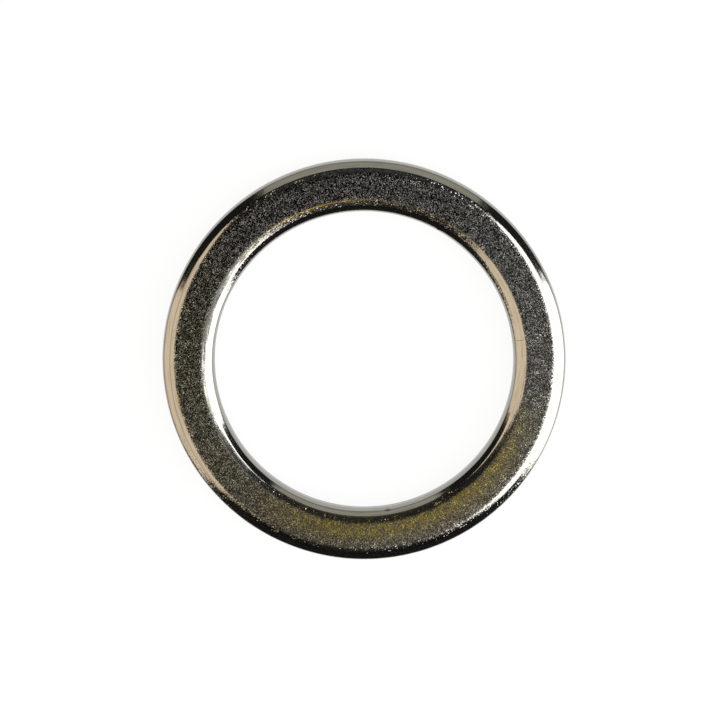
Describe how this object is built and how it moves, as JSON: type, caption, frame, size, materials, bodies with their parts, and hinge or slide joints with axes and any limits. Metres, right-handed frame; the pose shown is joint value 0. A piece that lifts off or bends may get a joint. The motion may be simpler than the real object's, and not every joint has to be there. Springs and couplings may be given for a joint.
{
  "type": "flat metal ring",
  "caption": "Plain closed flat ring of plated cast metal with softened edges, for joining straps, cords, tags or loose leaves.",
  "frame": {"origin": "centre of the hole, on the surface the ring lies on", "axes": "+Z along the axis of the ring, up through the hole; the ring is round, so +X and +Y are free"},
  "size_m": [0.0404, 0.0404, 0.004],
  "materials": {
    "nickel_plate": "worn bright nickel plate: fine-grained flat faces, smoother shoulders and walls, a brassy tinge on one side"
  },
  "bodies": {
    "root": {"ring": "nickel_plate"}
  },
  "joints": []
}
